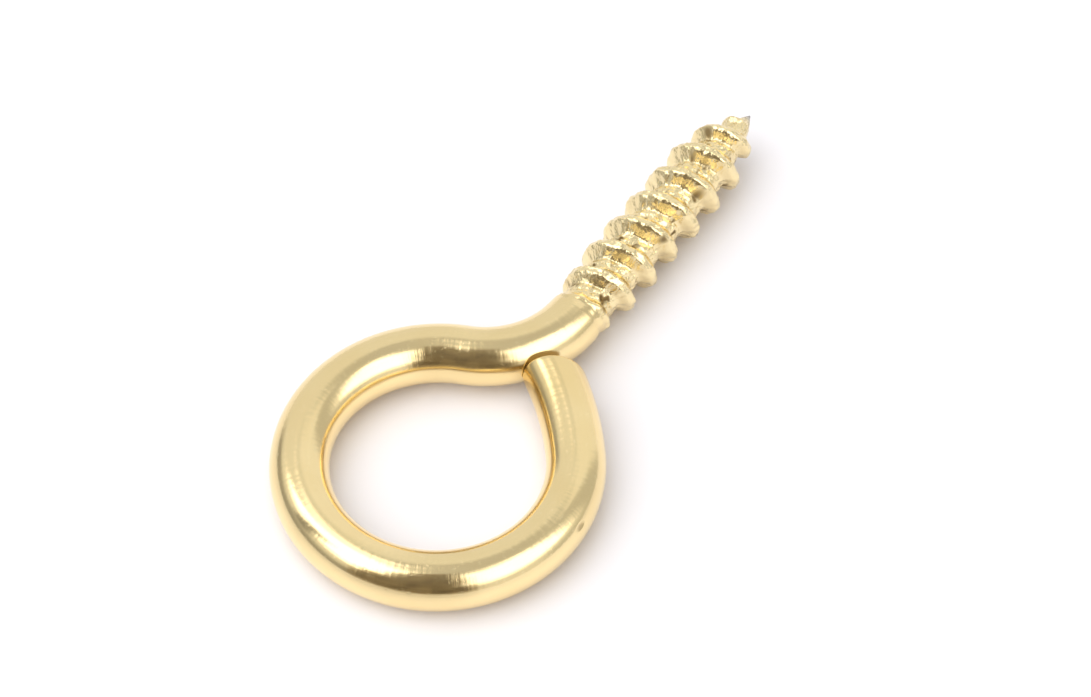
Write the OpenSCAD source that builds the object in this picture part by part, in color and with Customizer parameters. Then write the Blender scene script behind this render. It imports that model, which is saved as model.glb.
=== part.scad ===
// Screw eye: one length of wire, bent into an eye and rolled to a wood thread.
// Millimetres. The eye lies in the XY plane with its middle at the origin,
// the shank points along +X, and +Z is up.

/* [Eye] */
// Inside diameter of the eye
eye_d = 7.8; // [6:0.1:12]
// Thickness of the wire
wire_d = 2.2; // [2.1:0.05:2.8]

/* [Neck] */
// Radius of the reverse bend from the eye to the thread, at the middle of the wire
neck_bend = 4; // [3.4:0.1:6]
// How far the shank lies to the tail's side of the eye's middle
shank_offset = 0.3; // [0:0.05:1]

/* [Tail] */
// Radius of the tail, at the middle of the wire, more open than the eye
tail_bend = 12.5; // [9:0.5:20]
// Angle from the shank at which the tail leaves the eye's circle
tail_from = 51; // [44:1:66]
// Gap between the cut end and the neck
tail_gap = 0.04; // [0.03:0.01:0.4]
// Slant of the cut end, which is shorter on the outside of the eye
end_slant = 20; // [0:1:30]

/* [Thread] */
// From the middle of the eye to the tip
reach = 19.9; // [16:0.05:28]
// Diameter over the ridge
thread_d = 2.85; // [2.3:0.05:3.6]
// Diameter at the root
root_d = 1.9; // [1.4:0.05:2]
// Distance from one turn to the next
pitch = 1.4; // [1.2:0.05:2]
// Width of the ridge at its foot
ridge_foot = 1; // [0.6:0.05:1.1]
// Width of the ridge at its crest
ridge_crest = 0.16; // [0.06:0.02:0.3]
// Length over which the ridge rises out of the root
run_in = 2.2; // [1:0.1:4]
// Turn of the whole thread about the shank
thread_turn = 40; // [0:5:355]
// Steps in one turn
turn_steps = 30; // [20:1:40]

/* [Point] */
// Length of the taper
point_length = 3.2; // [1.5:0.1:5]
// Diameter of the root where the taper ends
tip_d = 0.4; // [0.2:0.05:0.8]
// Length of the blunt tip beyond the last turn
tip_length = 0.6; // [0.15:0.05:0.8]

/* [Hidden] */
$fn = 72;
brass = [0.87, 0.77, 0.5];

// Middle of the wire
eye_r = (eye_d + wire_d) / 2;
wire_r = wire_d / 2;

// Neck and tail run a short way into the eye's wire, and are a hair thinner so that they join it cleanly
lap = 0.05;
hair = 0.005;

// Centre of the neck's bend, which touches both the eye's circle and the shank's line
neck_y = neck_bend - shank_offset;
neck_x = sqrt(pow(eye_r + neck_bend, 2) - pow(neck_y, 2));
neck_angle = atan2(neck_y, neck_x);

// Centre of the tail's bend
tail_centre = [
    (eye_r - tail_bend) * cos(tail_from),
    (tail_bend - eye_r) * sin(tail_from)
];
to_neck = [neck_x - tail_centre[0], neck_y - tail_centre[1]];

// The inner corner of the slanted end leads its middle, and stops just short of the neck
corner_lead = wire_r * tan(end_slant);
corner_r = norm([tail_bend - wire_r, corner_lead]);
corner_ahead = atan2(corner_lead, tail_bend - wire_r);
neck_clear = neck_bend + wire_r + tail_gap;
corner_cosine = (pow(corner_r, 2) + pow(norm(to_neck), 2) - pow(neck_clear, 2))
    / (2 * corner_r * norm(to_neck));
corner_angle = atan2(to_neck[1], to_neck[0]) - acos(corner_cosine);
end_angle = corner_angle - corner_ahead;

// The thread begins where the neck's bend ends, its root a little inside the neck
thread_x = neck_x;
first_x = thread_x - lap;
root_start = first_x - ridge_foot / 2 - lap;
last_x = reach - tip_length - ridge_foot / 2;
steps = floor((last_x - first_x) / pitch * turn_steps);
taper_x = reach - point_length;

function ridge_x(j) = first_x + pitch * j / turn_steps;

// 0 before the taper, 1 at the tip
function taper(x) = max(0, min(1, (x - taper_x) / point_length));

function root_r(x) = root_d / 2 - (root_d - tip_d) / 2 * pow(taper(x), 1.3);

// Share of its full height that the ridge has
function rise(x) = max(0, min(1, (x - thread_x - lap) / run_in));

function crest_r(x) = root_r(x) + (thread_d - root_d) / 2 * sqrt(rise(x)) * (1 - pow(taper(x), 2));

function turn_point(x, r, j) = [x, r * cos(360 * j / turn_steps), r * sin(360 * j / turn_steps)];

// One step of the ridge: foot, two corners of the crest, foot
function ridge_step(j) = let (
    x = ridge_x(j),
    a = x - ridge_foot / 2,
    b = x + ridge_foot / 2
) [
    turn_point(a, root_r(a), j),
    turn_point(x - ridge_crest / 2, crest_r(x), j),
    turn_point(x + ridge_crest / 2, crest_r(x), j),
    turn_point(b, root_r(b), j)
];

function quad(a, b, c, d) = [[a, b, c], [a, c, d]];

// A length of wire bent about a centre, from one angle through a sweep
module bent_wire(centre, radius, thickness_r, from, sweep) {
    translate([centre[0], centre[1], 0])
        rotate([0, 0, from])
            rotate_extrude(angle = sweep)
                translate([radius, 0])
                    circle(r = thickness_r);
}

module eye() {
    bent_wire([0, 0], eye_r, wire_r, neck_angle, 360 - tail_from - neck_angle);
}

// The wire runs on past the end and is cut off on the slant
module tail() {
    before = asin(lap / tail_bend);
    beyond = corner_ahead + asin(wire_r / tail_bend);
    difference() {
        bent_wire(
            tail_centre, tail_bend, wire_r - hair,
            -tail_from - before, end_angle + tail_from + before + beyond
        );
        translate([tail_centre[0], tail_centre[1], 0])
            rotate([0, 0, end_angle])
                translate([tail_bend, 0, 0])
                    rotate([0, 0, -end_slant])
                        translate([-2 * wire_d, 0, -wire_d])
                            cube([4 * wire_d, 3 * wire_d, 2 * wire_d]);
    }
}

module neck() {
    before = asin(lap / neck_bend);
    from = 180 + neck_angle - before;
    bent_wire([neck_x, neck_y], neck_bend, wire_r - hair, from, 270 - from);
}

// Root, ridge and point as one closed surface whose rows follow the helix
module thread() {
    n = turn_steps;
    m = steps;
    ring = 4 * (m + 1);
    hub = ring + n;
    tip = hub + 1;
    points = concat(
        [for (j = [0:m]) each ridge_step(j)],
        [for (j = [0:n - 1]) turn_point(root_start, root_d / 2, j)],
        [[root_start, 0, 0], [reach, 0, 0]]
    );
    ridge = [for (j = [0:m - 1], k = [0:2])
        each quad(4 * j + k, 4 * j + k + 1, 4 * j + k + 5, 4 * j + k + 4)];
    root = [for (j = [0:m - n - 1])
        each quad(4 * j + 3, 4 * (j + n), 4 * (j + n + 1), 4 * j + 7)];
    plain = [for (j = [0:n - 2])
        each quad(ring + j, 4 * j, 4 * j + 4, ring + j + 1)];
    // the last plain strip meets the first turn along one straight line
    seam = [4 * (n - 1), 4 * n, 3, 2, 1, 0, ring];
    meeting = [for (k = [0:5]) [ring + n - 1, seam[k], seam[k + 1]]];
    start = [for (j = [0:n - 1]) [hub, ring + j, ring + (j + 1) % n]];
    cone = [for (j = [m - n:m - 1]) [tip, 4 * j + 7, 4 * j + 3]];
    last = [4 * (m - n) + 3, 4 * m, 4 * m + 1, 4 * m + 2, 4 * m + 3];
    closing = [for (k = [0:3]) [tip, last[k], last[k + 1]]];
    translate([0, -shank_offset, 0])
        rotate([thread_turn, 0, 0])
            polyhedron(points, concat(ridge, root, plain, meeting, start, cone, closing));
}

module screw_eye() {
    color(brass) {
        eye();
        tail();
        neck();
        thread();
    }
}

screw_eye();
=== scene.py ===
# %% [markdown]
# # A brass-plated screw eye
# A screw eye is a single length of steel wire. One end is bent round into a closed
# eye, the other is rolled to a coarse wood thread with a point, and the whole piece
# is then plated with bright brass. The CAD model is loaded first, because it sets
# the frame: metres, +Z up, the eye's middle at the origin and the shank along +X.

# %% Load the frame
import math

import bpy
import numpy as np
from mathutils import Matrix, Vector


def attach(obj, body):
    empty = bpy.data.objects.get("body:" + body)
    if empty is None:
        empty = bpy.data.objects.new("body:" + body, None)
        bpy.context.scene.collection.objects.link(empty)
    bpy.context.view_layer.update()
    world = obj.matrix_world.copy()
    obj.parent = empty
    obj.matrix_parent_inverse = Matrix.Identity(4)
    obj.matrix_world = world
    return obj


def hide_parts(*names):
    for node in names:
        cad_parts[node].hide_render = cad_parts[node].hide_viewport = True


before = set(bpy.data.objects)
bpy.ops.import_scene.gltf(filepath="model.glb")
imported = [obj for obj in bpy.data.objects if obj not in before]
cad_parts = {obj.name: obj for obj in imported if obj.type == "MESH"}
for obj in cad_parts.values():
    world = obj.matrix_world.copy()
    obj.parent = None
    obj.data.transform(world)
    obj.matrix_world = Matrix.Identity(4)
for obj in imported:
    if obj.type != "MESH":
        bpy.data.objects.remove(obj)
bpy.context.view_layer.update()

# %% [markdown]
# ## Sums as nodes
# Both the shape and the finish are made with nodes, and most of those nodes are
# plain sums. Placing each one by hand takes four lines, so this step makes a small
# class: a `Field` stands for an output in a node tree, and adding, multiplying or
# comparing two of them places the Math node that does it. The tree stays an
# ordinary one that can be opened and read in the editor.


# %% A value in a node tree
class Field:
    def __init__(self, tree, socket):
        self.tree, self.socket = tree, socket

    def math(self, operation, *others):
        node = self.tree.nodes.new("ShaderNodeMath")
        node.operation = operation
        for slot, value in zip(node.inputs, (self, *others)):
            feed(self.tree, slot, value)
        return Field(self.tree, node.outputs[0])

    def __add__(self, other):
        return self.math("ADD", other)

    def __sub__(self, other):
        return self.math("SUBTRACT", other)

    def __mul__(self, other):
        return self.math("MULTIPLY", other)

    def __truediv__(self, other):
        return self.math("DIVIDE", other)

    def __rsub__(self, other):
        return (self * -1) + other

    def __lt__(self, other):
        return self.math("LESS_THAN", other)

    def __pow__(self, other):
        return self.math("POWER", other)

    def clamped(self):
        return self.math("MAXIMUM", 0.0).math("MINIMUM", 1.0)

    def eased(self, start=0.0, stop=1.0):
        node = self.tree.nodes.new("ShaderNodeMapRange")
        node.interpolation_type = "SMOOTHSTEP"
        feed(self.tree, node.inputs["Value"], self)
        node.inputs["From Min"].default_value = start
        node.inputs["From Max"].default_value = stop
        return Field(self.tree, node.outputs[0])

    def choose(self, yes, no):
        return self * (yes - no) + no


def feed(tree, slot, value):
    if isinstance(value, Field):
        tree.links.new(value.socket, slot)
    else:
        slot.default_value = value


print("a Field can be added, multiplied, compared, clamped and eased")

# %% [markdown]
# Places and directions are vectors, which have nodes of their own. They could be kept
# as three separate values, but then each sum would be written three times. Three more
# helpers put a vector together, take it apart and work on it as a whole.


# %% Vectors in a node tree
def vector(tree, x, y, z):
    node = tree.nodes.new("ShaderNodeCombineXYZ")
    for slot, value in zip(node.inputs, (x, y, z)):
        feed(tree, slot, value)
    return Field(tree, node.outputs[0])


def split(tree, value):
    node = tree.nodes.new("ShaderNodeSeparateXYZ")
    feed(tree, node.inputs[0], value)
    return [Field(tree, socket) for socket in node.outputs]


def vector_math(tree, operation, *values, output=0):
    node = tree.nodes.new("ShaderNodeVectorMath")
    node.operation = operation
    slots = [slot for slot in node.inputs if slot.enabled]
    for slot, value in zip(slots, values):
        feed(tree, slot, value)
    return Field(tree, node.outputs[output])


print("a vector can be put together, split and worked on as a whole")

# %% [markdown]
# ## The wire as a rule
# The real wire is bent on a few round formers: an open bend for the tail, a circle
# for the eye, a reverse bend for the neck, and then a straight shank. It could be
# modelled as separate tubes, but their joins would show in a mirror-bright finish.
# One Geometry Nodes tree sweeps a single skin along the whole path instead. Every
# size is a named input of the tree, lengths in millimetres and angles in radians.

# %% Sizes of the wire
SIZES = {
    "Wire radius": 1.1,
    "Eye radius": 5.0,
    "Neck bend": 4.0,
    "Shank offset": 0.3,
    "Tail bend": 12.5,
    "Tail angle": math.radians(51),
    "Tail gap": 0.04,
    "End slant": math.radians(20),
    "End lean": math.radians(14),
    "End edge": 0.08,
    "Reach": 19.9,
    "Root radius": 0.95,
    "Ridge height": 0.475,
    "Pitch": 1.4,
    "Ridge foot": 1.0,
    "Ridge crest": 0.16,
    "Run in": 2.2,
    "Thread turn": math.radians(40),
    "Point length": 3.2,
    "Tip radius": 0.2,
    "Tip length": 0.6,
    "Wire dents": 0.004,
    "Thread dents": 0.2,
}
print("sizes:", len(SIZES))

# %% Named inputs of the tree
wire_tree = bpy.data.node_groups.new("screw eye wire", "GeometryNodeTree")
wire_tree.is_modifier = True
wire_tree.interface.new_socket("Geometry", in_out="INPUT", socket_type="NodeSocketGeometry")
sockets = {}
for name, value in SIZES.items():
    sockets[name] = wire_tree.interface.new_socket(name, in_out="INPUT", socket_type="NodeSocketFloat")
    sockets[name].default_value = value
for name in ("Plating", "Cut face"):
    sockets[name] = wire_tree.interface.new_socket(name, in_out="INPUT", socket_type="NodeSocketMaterial")
wire_tree.interface.new_socket("Geometry", in_out="OUTPUT", socket_type="NodeSocketGeometry")
inputs = wire_tree.nodes.new("NodeGroupInput")
outputs = wire_tree.nodes.new("NodeGroupOutput")
size = {name: Field(wire_tree, inputs.outputs[name]) for name in SIZES}
print("inputs:", len(sockets), "of which", len(sockets) - len(SIZES), "are materials")

# %% [markdown]
# ## The path from the cut end to the tip
# The neck's bend has to touch both the eye's circle and the shank's line, and the
# tail has to stop just short of the neck. Those two conditions fix where the bends
# have their centres and how far each one runs. They could be written down as
# numbers, but a changed size would make those wrong, so the tree works them out.

# %% Centres of the bends
eye_r, bend, tail_r = size["Eye radius"], size["Neck bend"], size["Tail bend"]
neck_y = bend - size["Shank offset"]
neck_x = ((eye_r + bend) ** 2.0 - neck_y ** 2.0).math("SQRT")
neck_angle = neck_y.math("ARCTAN2", neck_x)
tail_x = (eye_r - tail_r) * size["Tail angle"].math("COSINE")
tail_y = (tail_r - eye_r) * size["Tail angle"].math("SINE")
print("three bends: tail, eye and neck")

# %% Where the cut end stops
away_x, away_y = neck_x - tail_x, neck_y - tail_y
away = (away_x ** 2.0 + away_y ** 2.0).math("SQRT")
clear = bend + size["Wire radius"] + size["Tail gap"]
slant = size["End slant"].math("TANGENT")
lead = size["Wire radius"] * slant
inner_r = tail_r - size["Wire radius"]
corner_r = (inner_r ** 2.0 + lead ** 2.0).math("SQRT")
cosine = (corner_r ** 2.0 + away ** 2.0 - clear ** 2.0) / (corner_r * away * 2.0)
end_angle = away_y.math("ARCTAN2", away_x) - cosine.math("ARCCOSINE") - lead.math("ARCTAN2", inner_r)
print("the cut end stops", SIZES["Tail gap"], "mm short of the neck")

# %% Lengths along the wire
SHORT_OF_TIP = 0.002
tail_end = tail_r * (end_angle + size["Tail angle"])
eye_end = tail_end + eye_r * (math.tau - size["Tail angle"] - neck_angle)
neck_end = eye_end + bend * (math.pi / 2 - neck_angle)
tip_end = neck_end + size["Reach"] - neck_x - SHORT_OF_TIP
print("the path has four stretches: tail, eye, neck and shank")

# %% [markdown]
# Points along the path become the rows of the skin. A thread needs rows that are a
# few hundredths of a millimetre apart, and a plain bend does not, so the rows are
# spread in three groups: a few round the edge of the cut end, some along the bends,
# and most of them along the thread.

# %% Rows along the path
EDGE_ROWS, BEND_ROWS, ROWS = 7, 250, 640
FINE_BEFORE_THREAD = 0.3


def read(kind):
    return Field(wire_tree, wire_tree.nodes.new(kind).outputs[0])


line = wire_tree.nodes.new("GeometryNodeMeshLine")
line.inputs["Count"].default_value = ROWS
row = read("GeometryNodeInputIndex")
edge = size["End edge"]
fine_start = neck_end - FINE_BEFORE_THREAD
in_edge = edge * (1.0 - (row * (math.pi / 2 / EDGE_ROWS)).math("COSINE"))
in_bends = edge + (row - EDGE_ROWS) * ((fine_start - edge) / (BEND_ROWS - EDGE_ROWS))
in_thread = fine_start + (row - BEND_ROWS) * ((tip_end - fine_start) / (ROWS - 1 - BEND_ROWS))
along = (row < EDGE_ROWS).choose(in_edge, (row < BEND_ROWS).choose(in_bends, in_thread))
print("rows:", ROWS, "of which", ROWS - BEND_ROWS, "are for the thread")

# %% [markdown]
# The length along the wire says which stretch a row lies on. On a bend, its place
# comes from the centre, the radius and the angle that is reached there. On the shank
# it simply runs on along +X. The rows are then joined to one curve.

# %% Place the rows
in_tail, in_eye, in_neck = along < tail_end, along < eye_end, along < neck_end
tail_turn = end_angle - along / tail_r
eye_turn = (along - tail_end) / eye_r * -1 - size["Tail angle"]
neck_turn = (along - eye_end) / bend + neck_angle + math.pi
turn = in_tail.choose(tail_turn, in_eye.choose(eye_turn, neck_turn))
radius = in_tail.choose(tail_r, in_eye.choose(eye_r, bend))
centre_x = in_tail.choose(tail_x, (1.0 - in_eye) * neck_x)
centre_y = in_tail.choose(tail_y, (1.0 - in_eye) * neck_y)
path_x = in_neck.choose(centre_x + radius * turn.math("COSINE"), neck_x + along - neck_end)
path_y = in_neck.choose(centre_y + radius * turn.math("SINE"), size["Shank offset"] * -1)

place = wire_tree.nodes.new("GeometryNodeSetPosition")
wire_tree.links.new(line.outputs["Mesh"], place.inputs["Geometry"])
feed(wire_tree, place.inputs["Position"], vector(wire_tree, path_x, path_y, 0.0))
to_curve = wire_tree.nodes.new("GeometryNodeMeshToCurve")
wire_tree.links.new(place.outputs[0], to_curve.inputs[0])
print("the path is one curve of", ROWS, "points")

# %% [markdown]
# ## Sweeping the skin
# Curve to Mesh carries a circle along the path. Each point of the skin then has to
# know where it sits on the wire, so the length along the wire, the middle of the
# wire and its direction are captured on the path first. From them comes a place on
# the wire as if it had never been bent: millimetres along, across and up. It is
# stored later as the attribute `wire`, and every texture of the finish follows it.

# %% Keep what the path knows
KEPT = {"along": "FLOAT", "middle": "VECTOR", "direction": "VECTOR"}
keep = wire_tree.nodes.new("GeometryNodeCaptureAttribute")
for name, kind in KEPT.items():
    keep.capture_items.new(kind, name)
wire_tree.links.new(to_curve.outputs[0], keep.inputs["Geometry"])
feed(wire_tree, keep.inputs["along"], along)
feed(wire_tree, keep.inputs["middle"], read("GeometryNodeInputPosition"))
feed(wire_tree, keep.inputs["direction"], read("GeometryNodeInputTangent"))
on_wire, middle, direction = (Field(wire_tree, keep.outputs[name]) for name in KEPT)
print("captured on the path:", ", ".join(KEPT))

# %% Sweep a circle along the path
COLUMNS = 112
circle = wire_tree.nodes.new("GeometryNodeCurvePrimitiveCircle")
circle.inputs["Resolution"].default_value = COLUMNS
circle.inputs["Radius"].default_value = 1.0
sweep = wire_tree.nodes.new("GeometryNodeCurveToMesh")
sweep.inputs["Fill Caps"].default_value = True
wire_tree.links.new(keep.outputs["Geometry"], sweep.inputs["Curve"])
wire_tree.links.new(circle.outputs["Curve"], sweep.inputs["Profile Curve"])
print("columns:", COLUMNS)

# %% Unroll the wire
position = read("GeometryNodeInputPosition")
outward = vector_math(wire_tree, "NORMALIZE", vector_math(wire_tree, "SUBTRACT", position, middle))
across_way = vector_math(wire_tree, "CROSS_PRODUCT", (0, 0, 1), direction)
across = vector_math(wire_tree, "DOT_PRODUCT", outward, across_way, output="Value")
up = split(wire_tree, outward)[2]
unbent = vector(wire_tree, on_wire, across * size["Wire radius"], up * size["Wire radius"])
print("each point of the skin knows its place on the unbent wire")

# %% [markdown]
# ## The thread as a height on the skin
# A rolled wood thread is a thin ridge that winds round a slightly thinner root. The
# ridge could be swept along a helix as a second piece, but then it would only stand
# in the root, with a hard line where they meet. As a height on the same skin it
# rises out of the root with a small fillet, as rolled metal does. Where a point lies
# in its turn is its place along the shank minus its angle, in turns; the distance
# from the nearest ridge then gives the height.

# %% Ridge
LAP = 0.05
shank_x = split(wire_tree, middle)[0]
angle = up.math("ARCTAN2", across) - size["Thread turn"]
turns = (shank_x - neck_x + LAP) / size["Pitch"] - angle / math.tau
gap = ((turns + 0.5).math("FLOORED_MODULO", 1.0) - 0.5).math("ABSOLUTE") * size["Pitch"]
foot, crest = size["Ridge foot"] / 2, size["Ridge crest"] / 2
ridge = ((foot - gap) / (foot - crest)).eased()
print("one turn of the ridge every", SIZES["Pitch"], "mm")

# %% [markdown]
# The ridge rises over the first turns and runs out on the point, where the root gets
# thinner as well and ends in a small blunt nib. The neck has no thread, so the plain
# wire blends into the root over a short length. At the other end of the wire, the
# edge of the cut is rounded a little, because a sheared and plated edge is never sharp.

# %% Root, point and plain wire
ROOT_CURVE, RIDGE_CURVE, RUN_OUT = 1.3, 3.0, 0.3
NIB_POINT, NIB_CURVE = 0.98, 0.6
BLEND_BEFORE, BLEND_LENGTH = 0.1, 0.9
rise = ((shank_x - neck_x - LAP) / size["Run in"]).clamped() ** 0.5
taper = ((shank_x - size["Reach"] + size["Point length"]) / size["Point length"]).clamped()
root = size["Root radius"] - (size["Root radius"] - size["Tip radius"]) * taper ** ROOT_CURVE
past_thread = shank_x - size["Reach"] + size["Tip length"]
run_out = (past_thread / RUN_OUT + 0.5).eased()
height = size["Ridge height"] * rise * (1.0 - taper ** RIDGE_CURVE) * (1.0 - run_out)
nib = (1.0 - past_thread / size["Tip length"] * NIB_POINT).clamped() ** NIB_CURVE
threaded = ((on_wire - neck_end + BLEND_BEFORE) / BLEND_LENGTH).eased()
end_in = (1.0 - on_wire / edge).clamped()
plain = size["Wire radius"] - edge * (1.0 - (1.0 - end_in ** 2.0).math("SQRT"))
print("the point is", SIZES["Point length"], "mm long, its nib", SIZES["Tip length"], "mm")

# %% [markdown]
# Rolling and plating leave the thread uneven: the crest is a little ragged, small
# lumps of plating sit on the flanks, and where the thread begins the dies leave a few
# shallow lines between the turns. The bends are smoother, with only the faintest
# waves from the formers, which show because the finish is a mirror. All of these are
# dents, or are cut off just under the full height, so that the skin never grows past
# the CAD model's size.


# %% Dents
def noise(tree, place, scale, detail):
    node = tree.nodes.new("ShaderNodeTexNoise")
    feed(tree, node.inputs["Vector"], place)
    node.inputs["Scale"].default_value = scale
    node.inputs["Detail"].default_value = detail
    return Field(tree, node.outputs[0])


LUMP_FLOOR, LOST_ON_POINT = 0.3, 0.5
CREST_MOST, CREST_RANGE = 1.12, 0.28
DIE_LINES, DIE_DEPTH = 4, 0.03
UNDER_CREST = 0.005
lumps = (noise(wire_tree, unbent, scale=3.2, detail=2.0) - LUMP_FLOOR).math("MAXIMUM", 0.0)
ragged = CREST_MOST - noise(wire_tree, unbent, scale=1.9, detail=1.0) * CREST_RANGE
waves = noise(wire_tree, unbent, scale=0.45, detail=1.0)
die_lines = (turns * (DIE_LINES * math.tau)).math("COSINE") + 1.0
less_on_point = 1.0 - taper * LOST_ON_POINT
thread_r = root + height * ridge * ragged - size["Thread dents"] * lumps * less_on_point
thread_r = thread_r - die_lines * (1.0 - rise) * DIE_DEPTH
thread_r = thread_r.math("MINIMUM", size["Root radius"] + size["Ridge height"] - UNDER_CREST)
wire_r = plain - size["Wire dents"] * (waves + 1.0)
skin_r = (wire_r * (1.0 - threaded) + thread_r * threaded) * nib
print("dents:", SIZES["Wire dents"], "mm on the bends,", SIZES["Thread dents"], "mm on the thread")

# %% [markdown]
# The wire was sheared off, so its end is not square: it is shorter on the outside of
# the eye, and it leans over the neck a little at its top. A cut with a plane would
# make new, uneven faces. Here the rows near the end are slid along the wire instead,
# by less and less, until a short way on they stand square again.

# %% Move the skin
SLANT_FADES = 2.5


def scaled(way, length):
    result = vector_math(wire_tree, "SCALE", way)
    feed(wire_tree, result.socket.node.inputs["Scale"], length)
    return result


lean_back = size["End lean"].math("TANGENT")
shear = (across * slant - up * lean_back) * skin_r * (1.0 - on_wire / SLANT_FADES).clamped()
moved = vector_math(wire_tree, "ADD", middle, scaled(outward, skin_r))
moved = vector_math(wire_tree, "ADD", moved, scaled(direction, shear))
shape = wire_tree.nodes.new("GeometryNodeSetPosition")
feed(wire_tree, shape.inputs["Position"], moved)
print("the cut end slants by", round(math.degrees(SIZES["End slant"])), "degrees")

# %% [markdown]
# Four values are stored on the skin for the finish: the place on the unbent wire, and
# how far a point belongs to the thread, to the ridge and to the tip. The tree then
# turns millimetres into metres and gives the two materials, one for the plated wire
# and one for the face of the cut end.


# %% Store the values
def stored(geometry, name, kind, value):
    node = wire_tree.nodes.new("GeometryNodeStoreNamedAttribute")
    node.data_type = kind
    node.inputs["Name"].default_value = name
    wire_tree.links.new(geometry, node.inputs["Geometry"])
    feed(wire_tree, node.inputs["Value"], value)
    return node.outputs[0]


geometry = stored(sweep.outputs[0], "wire", "FLOAT_VECTOR", unbent)
geometry = stored(geometry, "threaded", "FLOAT", threaded)
geometry = stored(geometry, "ridge", "FLOAT", ridge * rise)
geometry = stored(geometry, "tip", "FLOAT", (past_thread / size["Tip length"]).eased())
wire_tree.links.new(geometry, shape.inputs["Geometry"])
print("stored: wire, threaded, ridge and tip")

# %% Smooth, scale and give materials
METRES = 0.001
CUT_FACE_LENGTH = 0.02


def then(kind, before):
    node = wire_tree.nodes.new(kind)
    wire_tree.links.new(before.outputs[0], node.inputs["Geometry"])
    return node


smooth = then("GeometryNodeSetShadeSmooth", shape)
scale = then("GeometryNodeTransform", smooth)
scale.inputs["Scale"].default_value = (METRES, METRES, METRES)
real = then("GeometryNodeRealizeInstances", scale)
plate = then("GeometryNodeSetMaterial", real)
wire_tree.links.new(inputs.outputs["Plating"], plate.inputs["Material"])
cut = then("GeometryNodeSetMaterial", plate)
wire_tree.links.new(inputs.outputs["Cut face"], cut.inputs["Material"])
feed(wire_tree, cut.inputs["Selection"], on_wire < CUT_FACE_LENGTH)
wire_tree.links.new(cut.outputs[0], outputs.inputs[0])
print("nodes in the tree:", len(wire_tree.nodes))

# %% [markdown]
# ## The plating's surface
# Bright brass plating is not one colour. Seen close, the drawn wire leaves fine
# lines along it, the former leaves faint ripples across it, the tone drifts a little
# from place to place, and there are tiny pits. All of this follows the wire, so it
# is built once as a shader group on the unbent place, and both finishes below use
# it with their own amounts.

# %% A group for drawn and plated wire
surface = bpy.data.node_groups.new("drawn and plated", "ShaderNodeTree")
for name in ("Lines", "Pits"):
    amount = surface.interface.new_socket(name, in_out="INPUT", socket_type="NodeSocketFloat")
    amount.default_value = 1.0
for name in ("Tone", "Dullness", "Height", "Knobs", "Dirt", "Marks"):
    surface.interface.new_socket(name, in_out="OUTPUT", socket_type="NodeSocketFloat")
group_in = surface.nodes.new("NodeGroupInput")
group_out = surface.nodes.new("NodeGroupOutput")
lines_amount, pits_amount = (Field(surface, group_in.outputs[name]) for name in ("Lines", "Pits"))
print("surface group with", len(group_out.inputs) - 1, "outputs")


# %% Lines, ripples, drift and pits
def attribute(tree, name, output):
    node = tree.nodes.new("ShaderNodeAttribute")
    node.attribute_name = name
    return Field(tree, node.outputs[output])


def stretched(place, factors):
    return vector_math(surface, "MULTIPLY", place, factors)


LONG_LINES, CROSS_RIPPLES = (0.35, 9.0, 9.0), (6.0, 0.7, 0.7)
PIT_FLOOR, PIT_SHARP = 0.62, 7.0
ROOT_SPOTS_FROM, ROOT_SPOTS_TO = 0.58, 0.7
spot = attribute(surface, "wire", "Vector")
draw_lines = noise(surface, stretched(spot, LONG_LINES), scale=1.0, detail=4.0)
ripples = noise(surface, stretched(spot, CROSS_RIPPLES), scale=1.0, detail=2.0)
drift = noise(surface, spot, scale=0.55, detail=3.0)
grain = noise(surface, spot, scale=7.0, detail=4.0)
pits = ((grain - PIT_FLOOR) * PIT_SHARP).clamped() * pits_amount
knobs = noise(surface, spot, scale=4.5, detail=3.0)
# a pattern of spots that makes the root between the ridges darker and rougher
root_spots = noise(surface, spot, scale=1.7, detail=2.0).eased(ROOT_SPOTS_FROM, ROOT_SPOTS_TO)
print("textures on the unbent wire, nodes so far:", len(surface.nodes))

# %% [markdown]
# A few traits belong to this one piece: a nick on the outside of the eye, three dark
# spots on the thread, and a tone that gets deeper towards the cut end. A texture
# would put them somewhere by chance, so they are placed one by one, each as a distance
# from a place on the unbent wire.

# %% Marks
NICK_PLACE, NICK_NARROW = (6.65, 0.97, 0.52), (4.5, 8.0, 8.0)
NICK_DARK, NICK_DEPTH = 0.5, 12.0
SPOTS = (((39.99, -0.83, 0.72), 4.0), ((37.47, -0.81, 0.74), 6.0), ((42.63, 0.57, 0.94), 4.0))
SPOT_DARK = 0.85
MARK_RIM, MARK_CORE = 1.3, 0.2
DEEPER_FROM, DEEPEST_FROM = 3.0, 0.5


def mark(place, narrow):
    offset = stretched(vector_math(surface, "SUBTRACT", spot, place), narrow)
    return vector_math(surface, "LENGTH", offset, output="Value").eased(MARK_RIM, MARK_CORE)


nick = mark(NICK_PLACE, NICK_NARROW)
marks = nick * NICK_DARK
for spot_place, narrow in SPOTS:
    marks = marks.math("MAXIMUM", mark(spot_place, (narrow, narrow, narrow)) * SPOT_DARK)
near_end = split(surface, spot)[0].eased(DEEPER_FROM, DEEPEST_FROM)
print("marks: one nick and", len(SPOTS), "dark spots")

# %% Outputs of the group
tone = drift * 0.8 + draw_lines * 0.2 - pits * 0.5 + near_end * 0.6
dullness = drift * 0.5 + draw_lines * lines_amount * 0.5 + pits * 0.6
relief = draw_lines * lines_amount + ripples * 2.0 - pits * 0.8 - nick * NICK_DEPTH
feed(surface, group_out.inputs["Tone"], tone.clamped())
feed(surface, group_out.inputs["Dullness"], dullness.clamped())
feed(surface, group_out.inputs["Height"], relief)
feed(surface, group_out.inputs["Knobs"], knobs)
feed(surface, group_out.inputs["Dirt"], root_spots)
feed(surface, group_out.inputs["Marks"], marks)
print("surface group:", len(surface.nodes), "nodes")
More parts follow.
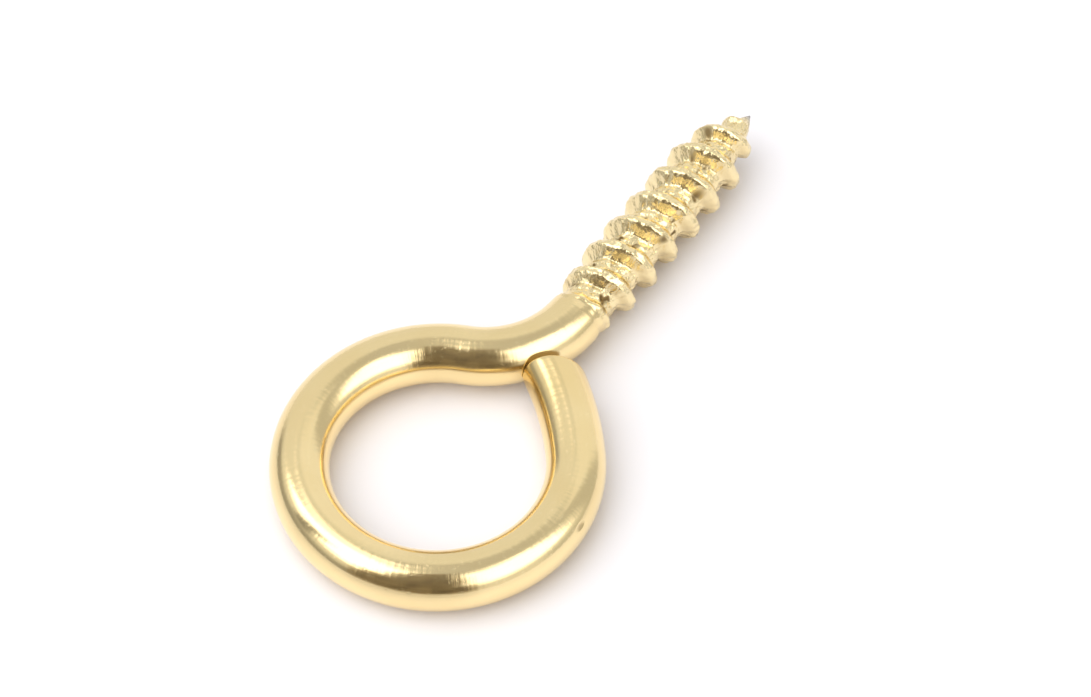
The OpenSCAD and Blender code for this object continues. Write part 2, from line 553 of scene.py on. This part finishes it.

# %% [markdown]
# ## The two finishes
# The plating is a metal: its colour is the tint of its reflections, a pale gold that
# is a little deeper where the plating is thick. The thread is duller and knobbly,
# because the dies leave it rough. Spots of the root between the ridges are darker and
# rougher, and the very tip is coloured grey. The sheared end is plated too, but over a
# torn surface, so it is matt.


# %% Mix two colours
def tinted(tree, factor, first, second):
    mix = tree.nodes.new("ShaderNodeMix")
    mix.data_type = "RGBA"
    feed(tree, mix.inputs["Factor"], factor)
    for slot, colour in ((mix.inputs["A"], first), (mix.inputs["B"], second)):
        feed(tree, slot, colour if isinstance(colour, Field) else (*colour, 1))
    return Field(tree, mix.outputs["Result"])


print("two colours can be mixed by a mask")

# %% Build a plated metal
THREAD_TINT, THREAD_SHARE = (0.93, 0.79, 0.47), 0.6
DARK_SPOT_TINT, TIP_GREY = (0.2, 0.13, 0.05), (0.6, 0.58, 0.55)
KNOB_HEIGHT = 22.0


def plated(name, pale, deep, roughness, lines, pits, bump):
    material = bpy.data.materials.new(name)
    material.use_nodes = True
    tree = material.node_tree
    worn = tree.nodes.new("ShaderNodeGroup")
    worn.node_tree = surface
    worn.inputs["Lines"].default_value = lines
    worn.inputs["Pits"].default_value = pits
    tone, dullness, relief, knobs, root_spots, marks = (Field(tree, socket) for socket in worn.outputs)
    on_thread, on_ridge, at_tip = (attribute(tree, mask, "Fac") for mask in ("threaded", "ridge", "tip"))
    in_root = on_thread * (1.0 - on_ridge)
    # darker, rougher spots in the root between the ridges, and the placed marks
    darkened = (root_spots * in_root).math("MAXIMUM", marks)
    colour = tinted(tree, tone, pale, deep)
    colour = tinted(tree, on_thread * THREAD_SHARE, colour, THREAD_TINT)
    colour = tinted(tree, darkened, colour, DARK_SPOT_TINT)
    # the very tip is coloured grey
    colour = tinted(tree, at_tip, colour, TIP_GREY)
    bumps = tree.nodes.new("ShaderNodeBump")
    bumps.inputs["Strength"].default_value = 1.0
    bumps.inputs["Distance"].default_value = bump
    feed(tree, bumps.inputs["Height"], relief + on_thread * knobs * KNOB_HEIGHT)
    shader = tree.nodes["Principled BSDF"]
    shader.inputs["Metallic"].default_value = 1.0
    feed(tree, shader.inputs["Base Color"], colour)
    feed(tree, shader.inputs["Roughness"], dullness * 0.12 + on_thread * 0.06 + darkened * 0.3 + roughness)
    tree.links.new(bumps.outputs["Normal"], shader.inputs["Normal"])
    return material


print("a plated metal has two tones, a roughness, amounts of lines and pits, and a relief")

# %% Plating and sheared end
plating = plated(
    "bright brass plating",
    pale=(0.96, 0.785, 0.44),
    deep=(0.89, 0.69, 0.34),
    roughness=0.1,
    lines=1.0,
    pits=1.0,
    bump=2.5e-6,
)
cut_face = plated(
    "sheared end",
    pale=(0.62, 0.49, 0.27),
    deep=(0.45, 0.34, 0.18),
    roughness=0.34,
    lines=0.4,
    pits=2.0,
    bump=1.2e-5,
)
print("materials:", plating.name, "and", cut_face.name)

# %% [markdown]
# ## Making the piece
# The tree is put on an empty mesh object, its inputs are set by their identifiers,
# and the evaluated result becomes a plain mesh. That mesh stands for the CAD node in
# the picture and moves with the part's only body.

# %% Evaluate the tree
blank = bpy.data.objects.new("wire by rule", bpy.data.meshes.new("blank"))
bpy.context.scene.collection.objects.link(blank)
modifier = blank.modifiers.new("wire", "NODES")
modifier.node_group = wire_tree
for name, value in SIZES.items():
    modifier[sockets[name].identifier] = value
modifier[sockets["Plating"].identifier] = plating
modifier[sockets["Cut face"].identifier] = cut_face
bpy.context.view_layer.update()
made = bpy.data.meshes.new_from_object(blank.evaluated_get(bpy.context.evaluated_depsgraph_get()))
made.name = "plated_wire"
blank.modifiers.clear()
bpy.data.objects.remove(blank)
print("vertices:", len(made.vertices), "polygons:", len(made.polygons))
print("materials:", [material.name for material in made.materials])

# %% Give the piece its place in the part
piece = bpy.data.objects.new("plated_wire", made)
bpy.context.scene.collection.objects.link(piece)
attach(piece, "root")
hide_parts("screw_eye")
points = np.empty(len(made.vertices) * 3)
made.vertices.foreach_get("co", points)
points = points.reshape(-1, 3)
print("skin box in mm:", points.min(0).round(5) * 1000, points.max(0).round(5) * 1000)

# %% [markdown]
# ## The floor it lies on
# The piece lies on a white table. Its thread is a little thicker than its wire, so
# it does not lie quite level: it touches with the far side of the eye and with the
# thread. The frame keeps the shank exactly along +X, so it is the table that takes
# the small tilt. The tilt is found by halving a range of angles until the plane
# touches both places.

# %% Find the resting plane
EYE_BEFORE, THREAD_AFTER = 0.002, 0.0085
MOST_TILT, HALVINGS = math.radians(4), 40


def lowest(part, tilt):
    return (part[:, 0] * math.sin(tilt) + part[:, 2] * math.cos(tilt)).min()


eye_part = points[points[:, 0] < EYE_BEFORE]
thread_part = points[points[:, 0] > THREAD_AFTER]
low, high = 0.0, MOST_TILT
for _ in range(HALVINGS):
    tilt = (low + high) / 2
    if lowest(eye_part, tilt) > lowest(thread_part, tilt):
        low = tilt
    else:
        high = tilt
print("the table tilts by", round(math.degrees(tilt), 2), "degrees")

# %% Table
half = 0.5
corners = [(-half, -half, 0), (half, -half, 0), (half, half, 0), (-half, half, 0)]
table_mesh = bpy.data.meshes.new("table")
table_mesh.from_pydata(corners, [], [(0, 1, 2, 3)])
table = bpy.data.objects.new("table", table_mesh)
bpy.context.scene.collection.objects.link(table)
table.rotation_euler = (0, tilt, 0)
table.location = Vector((math.sin(tilt), 0, math.cos(tilt))) * lowest(eye_part, tilt)
paper = bpy.data.materials.new("white table")
paper.use_nodes = True
paper_shader = paper.node_tree.nodes["Principled BSDF"]
paper_shader.inputs["Base Color"].default_value = (0.93, 0.91, 0.94, 1)
paper_shader.inputs["Roughness"].default_value = 0.3
table_mesh.materials.append(paper)
print("table at", [round(v * 1000, 2) for v in table.location], "mm")

# %% [markdown]
# ## Camera
# The photograph looks down at the piece at a little over fifty degrees, with the
# shank pointing away to the right. The camera is aimed at the middle of the piece
# from the same side. It stands about 19 cm off, and a long lens makes this one piece
# fill the picture.

# %% Place the camera
AZIMUTH, ELEVATION, DISTANCE = math.radians(-55), math.radians(54), 0.187
AIM = Vector((0.0065, -0.0002, 0))
towards = Vector((
    math.sin(AZIMUTH) * math.cos(ELEVATION),
    -math.cos(AZIMUTH) * math.cos(ELEVATION),
    math.sin(ELEVATION),
))
camera = bpy.data.objects.new("camera", bpy.data.cameras.new("camera"))
bpy.context.scene.collection.objects.link(camera)
camera.location = AIM + towards * DISTANCE
camera.rotation_euler = (AIM - camera.location).to_track_quat("-Z", "Y").to_euler()
camera.data.lens = 168
camera.data.sensor_width = 36
camera.data.clip_start = 0.01
bpy.context.scene.camera = camera
print("camera at", [round(v * 1000) for v in camera.location], "mm")

# %% [markdown]
# ## Light
# What a mirror-bright wire looks like is mostly what stands round it. The highlights
# in the photograph show a white room, a large soft light on each side, a dimmer
# ceiling, and a dark gap in front where the camera stands. Lamps would do for the
# light alone, but here the reflections matter more, so the room is painted as a
# world: each direction gets a brightness. A direction is given by two angles: how far
# it is turned from the camera's side, positive to the right, and how high it is.

# %% Directions in the room
world = bpy.data.worlds.new("studio")
bpy.context.scene.world = world
world.use_nodes = True
room = world.node_tree
ray = Field(room, room.nodes.new("ShaderNodeTexCoord").outputs["Generated"])
front = (math.sin(AZIMUTH), -math.cos(AZIMUTH), 0)
side = (math.cos(AZIMUTH), math.sin(AZIMUTH), 0)
to_front = vector_math(room, "DOT_PRODUCT", ray, front, output="Value")
to_side = vector_math(room, "DOT_PRODUCT", ray, side, output="Value")
off_front = to_side.math("ARCTAN2", to_front)
height_angle = split(room, ray)[2].math("ARCSINE")
print("the camera's side of the room is", [round(v, 2) for v in front])


# %% Soft-edged areas
def between(value, start, stop, soft):
    start, stop, half_soft = math.radians(start), math.radians(stop), math.radians(soft / 2)
    after_start = value.eased(start - half_soft, start + half_soft)
    before_stop = value.eased(stop + half_soft, stop - half_soft)
    return after_start * before_stop


def patch(turn, rise):
    return between(off_front, *turn) * between(height_angle, *rise)


def painted(light, level, mask):
    return mask * (level - light) + light


print("an area has a start, a stop and a soft border, in degrees")

# %% [markdown]
# The areas are painted one over the other, as with a brush: first the walls and the
# ceiling, then the darker parts on both sides, then the lights, and last a narrow dark
# stand before the left light. Each has a brightness, then a start, a stop and a soft
# border, once for the turn and once for the height.

# %% Walls, ceiling and lights
WALL, CEILING, BACK_RIGHT = 0.84, 0.57, 0.95
AREAS = {
    "low on the left": (0.36, (-134, -46, 14), (-40, 17, 16)),
    "low on the right": (0.62, (64, 122, 16), (-40, 12, 12)),
    "stripe on the right": (0.6, (98, 122, 10), (-40, 70, 10)),
    "high light at the back left": (1.7, (-162, -112, 12), (57, 77, 8)),
    "large light on the left": (2.7, (-122, -42, 10), (35, 79, 14)),
    "large light on the right": (2.5, (21, 86, 14), (23, 70, 14)),
    "dark stand on the left": (0.25, (-97, -83, 6), (18, 51, 8)),
}
light = painted(WALL, BACK_RIGHT, patch((122, 176, 12), (-40, 60, 12)))
light = painted(light, CEILING, between(height_angle, 61, 200, 12))
for level, turn_range, height_range in AREAS.values():
    light = painted(light, level, patch(turn_range, height_range))
print("painted over the walls and the ceiling:", ", ".join(AREAS))

# %% The dark gap in front
STREAKS_ROUND, STREAKS_UP = 9.0, 1.5
STREAK_RANGE, STREAK_DARK = 0.5, 0.09
gap_in_front = patch((-36, 17, 12), (40, 81, 10))
gap_in_front = gap_in_front.math("MAXIMUM", patch((-50, 14, 12), (22, 46, 10)))
gap_in_front = gap_in_front.math("MAXIMUM", patch((-52, 21, 12), (3, 28, 12)))
streak_place = vector(room, off_front * STREAKS_ROUND, height_angle * STREAKS_UP, 0.0)
streaks = noise(room, streak_place, scale=1.0, detail=1.0)
light = painted(light, streaks * STREAK_RANGE - STREAK_DARK, gap_in_front)
print("the gap is three patches with dark streaks")

# %% [markdown]
# The shadow on the table falls to the right, so what lights the table is simpler: a
# brightness that leans to the upper left, without the gap. Rays that come from a
# mirror see the painted room, rays that light a rough surface see the lean, and the
# camera itself sees plain white past the table's edge. In mirrors the gap has a warm
# tint, as the dark patches on the wire have in the photograph.

# %% Light that leans to the left
KEY_OFF, KEY_UP = math.radians(-66), math.radians(63)
KEY_NARROW, KEY_LEVEL, ROUND_LEVEL = 3.0, 2.4, 0.36
forward = math.cos(KEY_OFF) * math.cos(KEY_UP)
sideward = math.sin(KEY_OFF) * math.cos(KEY_UP)
key = (
    front[0] * forward + side[0] * sideward,
    front[1] * forward + side[1] * sideward,
    math.sin(KEY_UP),
)
lean = vector_math(room, "DOT_PRODUCT", ray, key, output="Value").math("MAXIMUM", 0.0)
shading = lean ** KEY_NARROW * KEY_LEVEL + ROUND_LEVEL
print("the light leans towards", [round(v, 2) for v in key])

# %% Each kind of ray
GAP_TINT, PLAIN_WHITE = (1, 0.8, 0.55), (1, 1, 1)
rays = room.nodes.new("ShaderNodeLightPath")
looking = Field(room, rays.outputs["Is Camera Ray"])
mirrored = Field(room, rays.outputs["Is Glossy Ray"]) + Field(room, rays.outputs["Is Transmission Ray"])
mirrored = mirrored.clamped()
strength = painted(painted(shading, light, mirrored), 1.0, looking)
background = room.nodes["Background"]
feed(room, background.inputs["Color"], tinted(room, gap_in_front * mirrored, PLAIN_WHITE, GAP_TINT))
feed(room, background.inputs["Strength"], strength)
print("room nodes:", len(room.nodes))

# %% [markdown]
# ## Finish
# The view transform is the plain one, so that colours come out as they were written.

# %% View settings
bpy.context.scene.view_settings.view_transform = "Standard"
